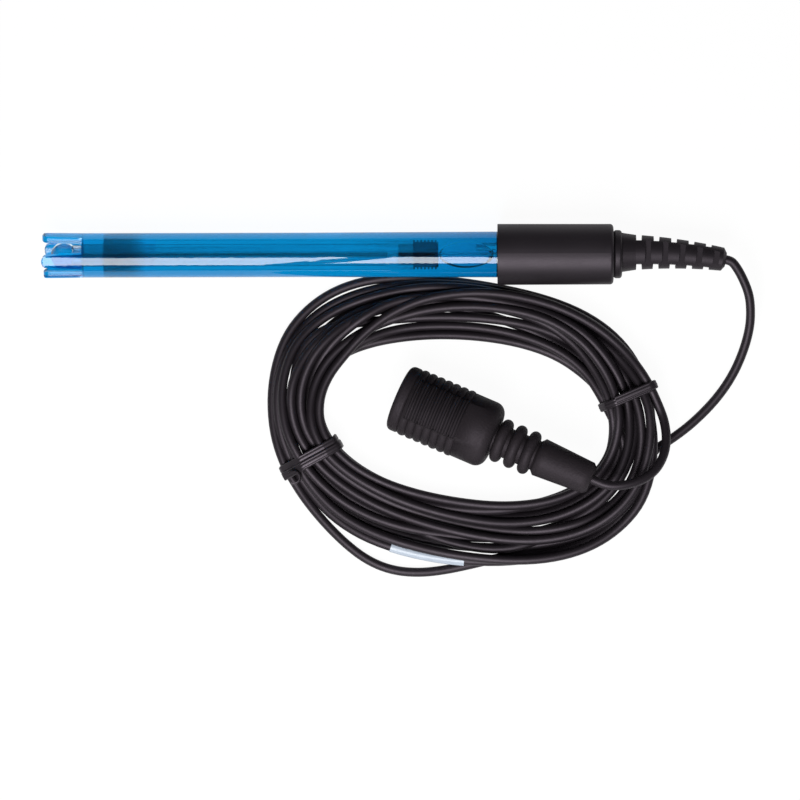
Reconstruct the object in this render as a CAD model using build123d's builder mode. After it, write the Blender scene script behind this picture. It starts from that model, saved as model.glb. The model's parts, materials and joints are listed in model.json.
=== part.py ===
"""Combination pH electrode, gel filled, with its tied cable coil and booted bayonet plug.

Millimetres. +Z is up and the electrode lies on z = 0, on its guard and on the front edge of its cap,
so its axis rises a little towards the cable. The tip points to -X and the cable leaves towards +X.
"""

import os
from math import atan, cos, degrees, pi, radians, sin, tan

from build123d import *

# Shaft: one moulding of clear blue plastic with the guard prongs on its tip
shaft_dia = 12.0
shaft_flare_dia = 12.35
shaft_bore = 9.2
shaft_visible = 122.7
shaft_parallel = 72.0
shaft_socket = 12.0

# Guard prongs and the bulkhead behind them
guard_dia = 12.2
guard_bore = 8.8
guard_depth = 10.8
guard_land = 1.2
guard_tip_chamfer = 0.4
prong_root_width = 4.4
prong_tip_width = 3.2
prong_tip_round = 1.5
prong_angle = 20.0
bulkhead_length = 5.7

# Glass: a stem with the pH bulb blown on its end
stem_dia = 5.5
stem_bore = 4.0
stem_end = 100.0
bulb_dia = 7.2
bulb_wall = 0.4
bulb_centre = 5.7

# Fillings and seals round the stem
wick_thickness = 0.35
wick_overrun = 3.0
seal_length = 11.1
buffer_end = 93.0
stopper_length = 6.8
stopper_spigot = 4.0
stopper_dia = 5.4
stopper_groove = 0.35
stopper_ribs = 7
bubble_dia = 5.3
bubble_length = 14.6
bubble_film = 0.25
gel_end_margin = 0.8

# Silver wires
measuring_wire_dia = 0.6
measuring_wire_start = 4.5
reference_wire_dia = 1.5
reference_wire_dip = 4.7
reference_wire_offset = 1.5
wire_overrun = 9.0

# Cap and its potting
cap_front_dia = 16.45
cap_rear_dia = 16.3
cap_length = 31.2
cap_rear_round = 0.9
cap_cavity_dia = 11.0
cap_rear_wall = 3.8

# Strain relief: a flange against the cap, a cone and a slotted sleeve that bends with the cable
flange_dia = 13.0
flange_thickness = 2.3
flange_round = 0.8
relief_offset = 0.48
relief_cone_length = 3.6
relief_cone_dia = 10.6
relief_root_dia = 9.5
relief_end_dia = 6.3
relief_length = 24.5
relief_bend = 9.6
relief_core_dia = 6.3
relief_core_taper = 0.22
relief_slots = 5
relief_slot_width = 1.62
relief_slot_pitch = 4.62
relief_slot_start = 0.2
relief_end_bevel = 0.9
relief_end_hole_lip = 1.2
relief_spigot_dia = 6.8

# Cable
cable_dia = 2.5
floor_gap = 0.05
cable_arc_share = 0.45
lead_straight = 1.2
tail_straight = 1.2

# Coil of cable: a flat oval bundle held up by its two ties
coil_centre = (21.8, -45.0)
coil_length = 109.6
coil_width = 72.2
coil_end_flat = 0.2
coil_turn = -10.5
coil_hole_centre = (22.6, -44.3)
coil_hole_length = 79.0
coil_hole_width = 44.0
coil_hole_turn = -7.7
coil_top = 10.0
coil_bevel = 5.6

# Ties: flat ribbons round the bundle
tie_width = 2.4
tie_thickness = 0.9
tie_clearance = 0.15
tie_reach = 24.0
tie_left_centre = (-18.9, -54.5)
tie_left_angle = 30.2
tie_right_centre = (66.1, -38.1)
tie_right_angle = 24.8

# Sleeve label on the outermost strand, beside the lower edge of the bundle
label_length = 20.0
label_dia = 2.9
label_slope = 7.0
label_gap = 0.1
label_shift = 4.0
label_strand_overrun = 4.0
label_strand_return = 8.0

# Plug: place, heading from mouth to cable, and the slope that lays its boot across the coil
plug_front = (3.89, -38.3)
plug_heading = -23.35
plug_slope = 6.5

# Boot: a rubber moulding with a ribbed grip, a bellows and a tapered sleeve
boot_lip_dia = 18.4
boot_lip_length = 3.25
boot_lip_round = 1.5
boot_lip_back_round = 0.8
boot_rib_dia = 18.8
boot_rib_valley_dia = 17.6
boot_rib_pitch = 2.28
boot_ribs = 7
boot_body_dia = 18.2
boot_body_length = 6.0
boot_shoulder = 3.0
boot_bellows_dia = 12.2
boot_bellows_neck_dia = 8.3
boot_bellows_pitch = 4.05
boot_bellows_width = 2.9
boot_bellows_rings = 3
boot_sleeve_dia = 10.5
boot_sleeve_end_dia = 8.9
boot_sleeve_length = 16.3
boot_sleeve_round = 1.0
boot_inner_slope = 1.6
grip_arc = 74.0
grip_centre = -7.0
grip_dia = 19.0
grip_margin = 0.8
grip_groove_depth = 0.55
grip_deep_groove_depth = 1.1
grip_groove_width = 0.5

# Bayonet coupling and the contact parts inside the boot
mouth_recess = 1.5
coupling_dia = 14.4
coupling_bore = 9.8
coupling_length = 14.7
coupling_lip = 1.2
coupling_spring_room = 3.4
bayonet_slot_width = 2.3
bayonet_entry = 4.2
bayonet_steps = 7
bayonet_step_angle = 11.0
bayonet_step_rise = 0.5
contact_dia = 8.1
contact_bore = 7.0
contact_recess = 1.7
contact_slits = 4
contact_slit_width = 0.4
contact_slit_length = 6.0
shell_flange_dia = 12.0
shell_flange_thickness = 1.2
shell_rear_dia = 11.2
shell_rear_length = 9.3
crimp_barrel_dia = 5.2
crimp_barrel_length = 4.8
ferrule_dia = 6.2
ferrule_length = 13.0
insulator_recess = 5.3
insulator_length = 15.5
pin_dia = 1.35
pin_recess = 3.2
pin_point = 0.6
gasket_thickness = 1.4
gasket_dia = 9.5
spring_washer_thickness = 0.4
spring_washer_cone = 1.0

# Clearances
running_clearance = 0.05
free_clearance = 0.3
boot_clearance = 0.35

os.makedirs("parts", exist_ok=True)

# Electrode frame: u runs along the axis from the tip, r is the distance from it
guard_r = guard_dia / 2
cap_front_r = cap_front_dia / 2
electrode_tilt = atan((cap_front_r - guard_r) / shaft_visible)
electrode_length = shaft_visible + cap_length + flange_thickness + relief_cone_length + relief_length
tip_height = guard_r * cos(electrode_tilt)
tip = Vector(-electrode_length / 2 * cos(electrode_tilt), 0, tip_height)
shaft_dir = Vector(cos(electrode_tilt), 0, sin(electrode_tilt))
shaft_up = Vector(-sin(electrode_tilt), 0, cos(electrode_tilt))
side_dir = Vector(0, -1, 0)
shaft_axis = Axis(tip, shaft_dir)
shaft_section = Plane(origin=tip, x_dir=shaft_dir, z_dir=(0, -1, 0))


def shaft_point(u, up=0.0, side=0.0):
    return tip + shaft_dir * u + shaft_up * up + side_dir * side


def prong_plane(angle):
    outward = shaft_up * cos(radians(angle)) + side_dir * sin(radians(angle))
    return Plane(origin=tip, x_dir=shaft_dir, z_dir=outward)


# Stations along the axis
bulkhead_end = guard_depth + bulkhead_length
seal_end = bulkhead_end + seal_length
stopper_end = stem_end + stopper_length
bubble_middle = stopper_end + bubble_film + bubble_length / 2
bubble_end = bubble_middle + bubble_length / 2
gel_end = bubble_end + gel_end_margin
shaft_end = shaft_visible + shaft_socket
cap_end = shaft_visible + cap_length
cap_cavity_end = cap_end - cap_rear_wall
relief_start = cap_end + flange_thickness + relief_cone_length
wire_end = gel_end + wire_overrun

# Radii that several pieces share
shaft_r = shaft_dia / 2
flare_r = shaft_flare_dia / 2
bore_r = shaft_bore / 2
guard_bore_r = guard_bore / 2
stem_r = stem_dia / 2
stem_bore_r = stem_bore / 2
bulb_r = bulb_dia / 2
bulb_bore_r = bulb_r - bulb_wall
wick_r = stem_r + wick_thickness
stopper_r = stopper_dia / 2
wire_r = measuring_wire_dia / 2
reference_r = reference_wire_dia / 2
cavity_r = cap_cavity_dia / 2
spigot_r = relief_spigot_dia / 2
cable_r = cable_dia / 2


def ball_station(ball_r, tube_r):
    """Where a ball at the bulb's centre runs into a coaxial tube of radius tube_r."""
    return bulb_centre + (ball_r**2 - tube_r**2) ** 0.5


# Guard prongs: four tapered tongues, drafted outwards a little towards their tips
with BuildPart() as guard_prongs:
    for quarter in (0, 90):
        with BuildSketch(prong_plane(prong_angle + quarter)):
            with BuildLine():
                Polyline(
                    (0, -prong_tip_width / 2),
                    (guard_depth + guard_land, -prong_root_width / 2),
                    (guard_depth + guard_land, prong_root_width / 2),
                    (0, prong_tip_width / 2),
                    close=True,
                )
            tongue = make_face()
            fillet(tongue.vertices().group_by(Axis.X)[0], prong_tip_round)
        extrude(amount=guard_dia, both=True)
    with BuildSketch(shaft_section):
        with BuildLine():
            Polyline(
                (0, guard_bore_r),
                (0, guard_r - guard_tip_chamfer),
                (guard_tip_chamfer, guard_r),
                (guard_depth, shaft_r),
                (guard_depth + guard_land, shaft_r),
                (guard_depth + guard_land, guard_bore_r),
                close=True,
            )
        make_face()
    revolve(axis=shaft_axis, mode=Mode.INTERSECT)

# Body tube: shaft, bulkhead and prongs in one piece, a little wider towards the cap
with BuildPart() as body_tube:
    with BuildSketch(shaft_section):
        with BuildLine():
            Polyline(
                (guard_depth, wick_r),
                (guard_depth, shaft_r),
                (shaft_parallel, shaft_r),
                (shaft_visible, flare_r),
                (shaft_end, flare_r),
                (shaft_end, bore_r),
                (bulkhead_end, bore_r),
                (bulkhead_end, wick_r),
                close=True,
            )
        make_face()
    revolve(axis=shaft_axis)
    add(guard_prongs.part)
body_tube.part.label = "body_tube"
export_step(body_tube.part, "parts/body_tube.step")

# Glass stem with its thin bulb
with BuildPart() as glass_stem:
    with BuildSketch(shaft_section):
        with BuildLine():
            outer_neck = ball_station(bulb_r, stem_r)
            inner_neck = ball_station(bulb_bore_r, stem_bore_r)
            Line((bulb_centre - bulb_bore_r, 0), (bulb_centre - bulb_r, 0))
            ThreePointArc((bulb_centre - bulb_r, 0), (bulb_centre, bulb_r), (outer_neck, stem_r))
            Polyline(
                (outer_neck, stem_r),
                (stem_end, stem_r),
                (stem_end, stem_bore_r),
                (inner_neck, stem_bore_r),
            )
            ThreePointArc(
                (inner_neck, stem_bore_r), (bulb_centre, bulb_bore_r), (bulb_centre - bulb_bore_r, 0)
            )
        make_face()
    revolve(axis=shaft_axis)
glass_stem.part.label = "glass_stem"
export_step(glass_stem.part, "parts/glass_stem.step")

# Measuring wire: runs up the stem from the bulb, through the stopper and the potting
with BuildPart() as measuring_wire:
    with BuildSketch(shaft_section):
        with BuildLine():
            Polyline(
                (measuring_wire_start, 0),
                (measuring_wire_start, wire_r),
                (wire_end, wire_r),
                (wire_end, 0),
                close=True,
            )
        make_face()
    revolve(axis=shaft_axis)
measuring_wire.part.label = "measuring_wire"
export_step(measuring_wire.part, "parts/measuring_wire.step")

# Buffer that fills the bulb and most of the stem, round the measuring wire
with BuildPart() as inner_buffer:
    with BuildSketch(shaft_section):
        with BuildLine():
            Polyline(
                (bulb_centre - bulb_bore_r, 0),
                (measuring_wire_start, 0),
                (measuring_wire_start, wire_r),
                (buffer_end, wire_r),
                (buffer_end, stem_bore_r),
                (inner_neck, stem_bore_r),
            )
            ThreePointArc(
                (inner_neck, stem_bore_r), (bulb_centre, bulb_bore_r), (bulb_centre - bulb_bore_r, 0)
            )
        make_face()
    revolve(axis=shaft_axis)
inner_buffer.part.label = "inner_buffer"
export_step(inner_buffer.part, "parts/inner_buffer.step")

# Junction wick: a fibre sleeve round the stem, through the bulkhead and the seal into the gel
with BuildPart() as junction_wick:
    with BuildSketch(shaft_section):
        with BuildLine():
            Polyline(
                (guard_depth, stem_r),
                (guard_depth, wick_r),
                (seal_end + wick_overrun, wick_r),
                (seal_end + wick_overrun, stem_r),
                close=True,
            )
        make_face()
    revolve(axis=shaft_axis)
junction_wick.part.label = "junction_wick"
export_step(junction_wick.part, "parts/junction_wick.step")

# Tip seal: a dark ring behind the bulkhead that holds the stem in the shaft
with BuildPart() as tip_seal:
    with BuildSketch(shaft_section):
        with BuildLine():
            Polyline(
                (bulkhead_end, wick_r),
                (bulkhead_end, bore_r),
                (seal_end, bore_r),
                (seal_end, wick_r),
                close=True,
            )
        make_face()
    revolve(axis=shaft_axis)
tip_seal.part.label = "tip_seal"
export_step(tip_seal.part, "parts/tip_seal.step")

# Stopper: a ribbed plug in the top of the stem
rib_step = stopper_length / stopper_ribs
rib_profile = []
for rib in range(stopper_ribs):
    rib_start = stem_end + rib * rib_step
    rib_profile += [
        (rib_start, stopper_r),
        (rib_start + rib_step / 2, stopper_r),
        (rib_start + rib_step / 2, stopper_r - stopper_groove),
        (rib_start + rib_step, stopper_r - stopper_groove),
    ]
with BuildPart() as stem_stopper:
    with BuildSketch(shaft_section):
        with BuildLine():
            Polyline(
                (stem_end - stopper_spigot, wire_r),
                (stem_end - stopper_spigot, stem_bore_r),
                (stem_end, stem_bore_r),
                *rib_profile,
                (stopper_end, wire_r),
                close=True,
            )
        make_face()
    revolve(axis=shaft_axis)
stem_stopper.part.label = "stem_stopper"
export_step(stem_stopper.part, "parts/stem_stopper.step")

# Reference wire: a thicker silver rod that hangs from the potting into the top of the gel
reference_plane = Plane(
    origin=shaft_point(bubble_end - reference_wire_dip, side=-reference_wire_offset),
    x_dir=side_dir,
    z_dir=shaft_dir,
)
reference_length = wire_end - bubble_end + reference_wire_dip
with BuildPart() as reference_wire:
    with BuildSketch(reference_plane):
        Circle(reference_r)
    extrude(amount=reference_length)
reference_wire.part.label = "reference_wire"
export_step(reference_wire.part, "parts/reference_wire.step")

# Reference gel: fills the shaft round the stem, with the long air bubble left under the potting
with BuildPart() as reference_gel:
    with BuildSketch(shaft_section):
        with BuildLine():
            Polyline(
                (stopper_end, wire_r),
                *reversed(rib_profile),
                (stem_end, stem_r),
                (seal_end + wick_overrun, stem_r),
                (seal_end + wick_overrun, wick_r),
                (seal_end, wick_r),
                (seal_end, bore_r),
                (gel_end, bore_r),
                (gel_end, wire_r),
                close=True,
            )
        make_face()
        with Locations((bubble_middle, 0)):
            Ellipse(bubble_length / 2, bubble_dia / 2, mode=Mode.SUBTRACT)
    revolve(axis=shaft_axis)
    with BuildSketch(reference_plane):
        Circle(reference_r)
    extrude(amount=reference_length, mode=Mode.SUBTRACT)
reference_gel.part.label = "reference_gel"
export_step(reference_gel.part, "parts/reference_gel.step")

# Head potting: resin that closes the shaft, fills the cap and holds both wires
with BuildPart() as head_potting:
    with BuildSketch(shaft_section):
        with BuildLine():
            Polyline(
                (gel_end, 0),
                (gel_end, bore_r),
                (shaft_end, bore_r),
                (shaft_end, cavity_r),
                (cap_cavity_end, cavity_r),
                (cap_cavity_end, 0),
                close=True,
            )
        make_face()
    revolve(axis=shaft_axis)
    with BuildSketch(Plane(origin=shaft_point(gel_end), x_dir=side_dir, z_dir=shaft_dir)):
        Circle(wire_r)
    extrude(amount=wire_overrun, mode=Mode.SUBTRACT)
    with BuildSketch(reference_plane):
        Circle(reference_r)
    extrude(amount=reference_length, mode=Mode.SUBTRACT)
head_potting.part.label = "head_potting"
export_step(head_potting.part, "parts/head_potting.step")

# Cap: a black moulding over the end of the shaft, sharp in front and rounded behind
with BuildPart() as head_cap:
    with BuildSketch(shaft_section):
        with BuildLine():
            rear_r = cap_rear_dia / 2
            Polyline(
                (cap_end - cap_rear_round, rear_r),
                (shaft_visible, cap_front_r),
                (shaft_visible, flare_r),
                (shaft_end, flare_r),
                (shaft_end, cavity_r),
                (cap_cavity_end, cavity_r),
                (cap_cavity_end, spigot_r),
                (cap_end, spigot_r),
                (cap_end, rear_r - cap_rear_round),
            )
            RadiusArc(
                (cap_end, rear_r - cap_rear_round), (cap_end - cap_rear_round, rear_r), -cap_rear_round
            )
        make_face()
    revolve(axis=shaft_axis)
head_cap.part.label = "head_cap"
export_step(head_cap.part, "parts/head_cap.step")

# Strain relief: spigot and flange, then a cone and a bent sleeve a little off their axis; its slots alternate
# between two sides
bend_radius = relief_length / radians(relief_bend)
relief_origin = shaft_point(relief_start, side=-relief_offset)
relief_axis = Axis(relief_origin, shaft_dir)
relief_section = Plane(origin=relief_origin, x_dir=shaft_dir, z_dir=(0, -1, 0))


def relief_plane(travel):
    """Section plane of the bent sleeve after that much of its length; x is sideways, y is up."""
    heading = travel / bend_radius
    forward = shaft_dir * (bend_radius * sin(heading))
    sideways = side_dir * (bend_radius * (1 - cos(heading)))
    centre = relief_origin + forward + sideways
    tangent = shaft_dir * cos(heading) + side_dir * sin(heading)
    return Plane(origin=centre, x_dir=shaft_up.cross(tangent), z_dir=tangent)


relief_bevel_start = relief_length - relief_end_bevel
with BuildPart() as strain_relief:
    with BuildSketch(shaft_section):
        flange_r = flange_dia / 2
        flange_back = cap_end + flange_thickness
        with BuildLine():
            Polyline(
                (cap_cavity_end, 0),
                (cap_cavity_end, spigot_r),
                (cap_end, spigot_r),
                (cap_end, flange_r - flange_round),
            )
            RadiusArc((cap_end, flange_r - flange_round), (cap_end + flange_round, flange_r), flange_round)
            Line((cap_end + flange_round, flange_r), (flange_back - flange_round, flange_r))
            RadiusArc((flange_back - flange_round, flange_r), (flange_back, flange_r - flange_round), flange_round)
            Polyline((flange_back, flange_r - flange_round), (flange_back, 0), (cap_cavity_end, 0))
        make_face()
    revolve(axis=shaft_axis)
    with BuildSketch(relief_section):
        with BuildLine():
            Polyline(
                (-relief_cone_length, 0),
                (-relief_cone_length, relief_cone_dia / 2),
                (0, relief_root_dia / 2),
                (0, 0),
                close=True,
            )
        make_face()
    revolve(axis=relief_axis)
    for share in (0.0, 0.5, 1.0):
        with BuildSketch(relief_plane(share * relief_bevel_start)):
            Circle((relief_root_dia + share * (relief_end_dia - relief_root_dia)) / 2)
    loft()
    with BuildSketch(relief_plane(relief_bevel_start)):
        Circle(relief_end_dia / 2)
    with BuildSketch(relief_plane(relief_length)):
        Circle(cable_r + relief_end_hole_lip / 2)
    loft()
    for slot in range(relief_slots):
        notch_depth = relief_root_dia - relief_core_dia + slot * relief_core_taper
        notch_shift = relief_root_dia / 2
        side_start = relief_slot_start + slot * relief_slot_pitch
        with BuildSketch(relief_plane(side_start)):
            with Locations((notch_shift, 0), (-notch_shift, 0)):
                Rectangle(notch_depth, relief_cone_dia)
        extrude(amount=relief_slot_width, mode=Mode.SUBTRACT)
        with BuildSketch(relief_plane(side_start + relief_slot_pitch / 2)):
            with Locations((0, notch_shift), (0, -notch_shift)):
                Rectangle(relief_cone_dia, notch_depth)
        extrude(amount=relief_slot_width, mode=Mode.SUBTRACT)
strain_relief.part.label = "strain_relief"
export_step(strain_relief.part, "parts/strain_relief.step")

# Plug frame: s runs along the plug's axis from the boot's mouth towards the cable
slope = radians(plug_slope)
heading = radians(plug_heading)
boot_lip_r = boot_lip_dia / 2
plug_height = boot_lip_round + (boot_lip_r - boot_lip_round) * cos(slope) - boot_lip_round * sin(slope)
plug_origin = Vector(plug_front[0], plug_front[1], plug_height)
plug_dir = Vector(cos(heading) * cos(slope), sin(heading) * cos(slope), sin(slope))
plug_side = Vector(sin(heading), -cos(heading), 0)
plug_up = plug_side.cross(plug_dir) * -1
plug_axis = Axis(plug_origin, plug_dir)
plug_section = Plane(origin=plug_origin, x_dir=plug_dir, z_dir=plug_side)


def plug_outward(angle):
    return plug_up * cos(radians(angle)) + plug_side * sin(radians(angle))


def plug_radial_plane(angle, station=0.0):
    return Plane(origin=plug_origin + plug_dir * station, x_dir=plug_dir, z_dir=plug_outward(angle))


# Stations along the plug
coupling_end = mouth_recess + coupling_length
coupling_lip_start = coupling_end - coupling_lip
spring_room_start = coupling_lip_start - coupling_spring_room
contact_start = mouth_recess + contact_recess
flange_start = spring_room_start + free_clearance
flange_end = flange_start + shell_flange_thickness
shell_rear_start = coupling_end + free_clearance
shell_rear_end = shell_rear_start + shell_rear_length
barrel_end = shell_rear_end + crimp_barrel_length
ferrule_end = shell_rear_end + ferrule_length
insulator_start = mouth_recess + insulator_recess
pin_start = mouth_recess + pin_recess
ribs_end = boot_lip_length + boot_ribs * boot_rib_pitch
shoulder_start = ribs_end + boot_body_length
shoulder_end = shoulder_start + boot_shoulder
bellows_end = shoulder_end + boot_bellows_rings * boot_bellows_pitch
boot_end = bellows_end + boot_sleeve_length

# Plug radii
coupling_r = coupling_dia / 2
coupling_bore_r = coupling_bore / 2
contact_r = contact_dia / 2
contact_bore_r = contact_bore / 2
shell_flange_r = shell_flange_dia / 2
spring_room_r = shell_flange_r + free_clearance
shell_rear_r = shell_rear_dia / 2
shell_neck_r = coupling_bore_r - free_clearance
barrel_r = crimp_barrel_dia / 2
ferrule_r = ferrule_dia / 2
pin_r = pin_dia / 2
neck_r = boot_bellows_neck_dia / 2
body_r = boot_body_dia / 2

# Boot: ribbed grip, shoulder, bellows and sleeve in one rubber moulding, hollow for the coupling
with BuildPart() as connector_boot:
    with BuildSketch(plug_section):
        with BuildLine():
            shell_room_r = shell_rear_r + boot_clearance
            ferrule_room_r = ferrule_r + boot_clearance
            cable_room_r = cable_r + boot_clearance
            ferrule_room_end = ferrule_end + boot_clearance
            shell_room_end = shell_rear_end + boot_clearance
            lip_back = boot_lip_length - boot_lip_back_round
            RadiusArc((0, boot_lip_r - boot_lip_round), (boot_lip_round, boot_lip_r), boot_lip_round)
            Line((boot_lip_round, boot_lip_r), (lip_back, boot_lip_r))
            RadiusArc((lip_back, boot_lip_r), (boot_lip_length, boot_rib_valley_dia / 2), boot_lip_back_round)
            for rib in range(boot_ribs):
                rib_start = boot_lip_length + rib * boot_rib_pitch
                ThreePointArc(
                    (rib_start, boot_rib_valley_dia / 2),
                    (rib_start + boot_rib_pitch / 2, boot_rib_dia / 2),
                    (rib_start + boot_rib_pitch, boot_rib_valley_dia / 2),
                )
            Polyline((ribs_end, boot_rib_valley_dia / 2), (ribs_end, body_r), (shoulder_start, body_r))
            RadiusArc((shoulder_start, body_r), (shoulder_end, body_r - boot_shoulder), boot_shoulder)
            Line((shoulder_end, body_r - boot_shoulder), (shoulder_end, neck_r))
            ring_gap = boot_bellows_pitch - boot_bellows_width
            for ring in range(boot_bellows_rings):
                ring_start = shoulder_end + ring * boot_bellows_pitch + ring_gap / 2
                ring_end = ring_start + boot_bellows_width
                Line((ring_start - ring_gap / 2, neck_r), (ring_start, neck_r))
                ThreePointArc(
                    (ring_start, neck_r),
                    ((ring_start + ring_end) / 2, boot_bellows_dia / 2),
                    (ring_end, neck_r),
                )
                Line((ring_end, neck_r), (ring_end + ring_gap / 2, neck_r))
            Polyline(
                (bellows_end, neck_r),
                (bellows_end + boot_sleeve_round, boot_sleeve_dia / 2),
                (boot_end - boot_sleeve_round, boot_sleeve_end_dia / 2),
                (boot_end, boot_sleeve_end_dia / 2 - boot_sleeve_round),
                (boot_end, cable_room_r),
                (ferrule_room_end, cable_room_r),
                (ferrule_room_end, ferrule_room_r),
                (shell_room_end + boot_inner_slope, ferrule_room_r),
                (shell_room_end, shell_room_r),
                (coupling_end, shell_room_r),
                (coupling_end, coupling_r),
                (0, coupling_r),
                (0, boot_lip_r - boot_lip_round),
            )
        make_face()
    revolve(axis=plug_axis)
    grip_start = boot_lip_length + grip_margin
    for face_angle in (grip_centre, grip_centre + 180):
        with BuildSketch(plug_radial_plane(face_angle - grip_arc / 2 - 90)):
            with BuildLine():
                Polyline(
                    (grip_start, coupling_r),
                    (grip_start, grip_dia / 2),
                    (ribs_end, grip_dia / 2),
                    (ribs_end, coupling_r),
                    close=True,
                )
            make_face()
            for groove in range(boot_ribs - 1):
                groove_centre = boot_lip_length + (groove + 1) * boot_rib_pitch
                groove_depth = grip_groove_depth if groove % 2 else grip_deep_groove_depth
                with Locations((groove_centre, grip_dia / 2)):
                    Rectangle(grip_groove_width, groove_depth, mode=Mode.SUBTRACT)
        revolve(axis=plug_axis, revolution_arc=grip_arc)
connector_boot.part.label = "connector_boot"
export_step(connector_boot.part, "parts/connector_boot.step")

# Bayonet sleeve: a plated ring fast in the boot, with two cam slots for the socket's studs
with BuildPart() as bayonet_sleeve:
    with BuildSketch(plug_section):
        with BuildLine():
            Polyline(
                (mouth_recess, coupling_bore_r),
                (mouth_recess, coupling_r),
                (coupling_end, coupling_r),
                (coupling_end, shell_neck_r + running_clearance),
                (coupling_lip_start, shell_neck_r + running_clearance),
                (coupling_lip_start, spring_room_r),
                (spring_room_start, spring_room_r),
                (spring_room_start, coupling_bore_r),
                close=True,
            )
        make_face()
    revolve(axis=plug_axis)
    for side in (0, 180):
        with BuildSketch(plug_radial_plane(side, mouth_recess + bayonet_entry / 2)):
            Rectangle(bayonet_entry, bayonet_slot_width)
        extrude(amount=coupling_dia, mode=Mode.SUBTRACT)
        for step in range(bayonet_steps):
            step_station = mouth_recess + bayonet_entry - bayonet_slot_width / 2 + step * bayonet_step_rise
            with BuildSketch(plug_radial_plane(side + step * bayonet_step_angle, step_station)):
                Rectangle(bayonet_slot_width, bayonet_slot_width)
            extrude(amount=coupling_dia, mode=Mode.SUBTRACT)
bayonet_sleeve.part.label = "bayonet_sleeve"
export_step(bayonet_sleeve.part, "parts/bayonet_sleeve.step")

# Plug shell: slotted outer contact, flange, neck and crimp barrel, turned in one piece
with BuildPart() as plug_shell:
    with BuildSketch(plug_section):
        with BuildLine():
            insulator_end = insulator_start + insulator_length
            Polyline(
                (contact_start, contact_bore_r),
                (contact_start, contact_r),
                (flange_start, contact_r),
                (flange_start, shell_flange_r),
                (flange_end, shell_flange_r),
                (flange_end, shell_neck_r),
                (shell_rear_start, shell_neck_r),
                (shell_rear_start, shell_rear_r),
                (shell_rear_end, shell_rear_r),
                (shell_rear_end, barrel_r),
                (barrel_end, barrel_r),
                (barrel_end, 0),
                (insulator_end, 0),
                (insulator_end, contact_bore_r),
                close=True,
            )
        make_face()
    revolve(axis=plug_axis)
    slit_station = contact_start + contact_slit_length / 2
    for slit in range(contact_slits):
        with BuildSketch(plug_radial_plane(slit * 360 / contact_slits, slit_station)):
            Rectangle(contact_slit_length, contact_slit_width)
        extrude(amount=coupling_bore_r, mode=Mode.SUBTRACT)
plug_shell.part.label = "plug_shell"
export_step(plug_shell.part, "parts/plug_shell.step")

# Insulator: a white plastic core that centres the pin
with BuildPart() as plug_insulator:
    with BuildSketch(plug_section):
        with BuildLine():
            Polyline(
                (insulator_start, pin_r),
                (insulator_start, contact_bore_r),
                (insulator_end, contact_bore_r),
                (insulator_end, pin_r),
                close=True,
            )
        make_face()
    revolve(axis=plug_axis)
plug_insulator.part.label = "plug_insulator"
export_step(plug_insulator.part, "parts/plug_insulator.step")

# Centre pin, pointed in front
with BuildPart() as centre_pin:
    with BuildSketch(plug_section):
        with BuildLine():
            Polyline(
                (pin_start, 0),
                (pin_start, pin_r - pin_point / 2),
                (pin_start + pin_point, pin_r),
                (insulator_end, pin_r),
                (insulator_end, 0),
                close=True,
            )
        make_face()
    revolve(axis=plug_axis)
centre_pin.part.label = "centre_pin"
export_step(centre_pin.part, "parts/centre_pin.step")

# Gasket: a soft ring on the outer contact, against the flange
with BuildPart() as plug_gasket:
    with BuildSketch(plug_section):
        with BuildLine():
            Polyline(
                (flange_start - gasket_thickness, contact_r),
                (flange_start - gasket_thickness, gasket_dia / 2),
                (flange_start, gasket_dia / 2),
                (flange_start, contact_r),
                close=True,
            )
        make_face()
    revolve(axis=plug_axis)
plug_gasket.part.label = "plug_gasket"
export_step(plug_gasket.part, "parts/plug_gasket.step")

# Spring washer: a coned disc between the flange and the lip of the bayonet sleeve
with BuildPart() as spring_washer:
    with BuildSketch(plug_section):
        with BuildLine():
            washer_r = shell_flange_r - free_clearance
            washer_bore_r = shell_neck_r + running_clearance
            Polyline(
                (flange_end, washer_r),
                (flange_end + spring_washer_thickness, washer_r),
                (flange_end + spring_washer_cone + spring_washer_thickness, washer_bore_r),
                (flange_end + spring_washer_cone, washer_bore_r),
                close=True,
            )
        make_face()
    revolve(axis=plug_axis)
spring_washer.part.label = "spring_washer"
export_step(spring_washer.part, "parts/spring_washer.step")

# Crimp ferrule: a tube over the barrel, pressed down on the cable behind it
with BuildPart() as crimp_ferrule:
    with BuildSketch(plug_section):
        with BuildLine():
            Polyline(
                (shell_rear_end, barrel_r),
                (shell_rear_end, ferrule_r),
                (ferrule_end, ferrule_r),
                (ferrule_end, 0),
                (barrel_end, 0),
                (barrel_end, barrel_r),
                close=True,
            )
        make_face()
    revolve(axis=plug_axis)
crimp_ferrule.part.label = "crimp_ferrule"
export_step(crimp_ferrule.part, "parts/crimp_ferrule.step")


def cord_radii(points):
    """Bend radius at each inner point: as large as the two runs that meet there allow."""
    radii = []
    for before, here, after in zip(points, points[1:], points[2:]):
        arriving = Vector(*here) - Vector(*before)
        leaving = Vector(*after) - Vector(*here)
        half_turn = radians(arriving.get_angle(leaving)) / 2
        radii.append(cable_arc_share * min(arriving.length, leaving.length) / tan(half_turn))
    return radii


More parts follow.
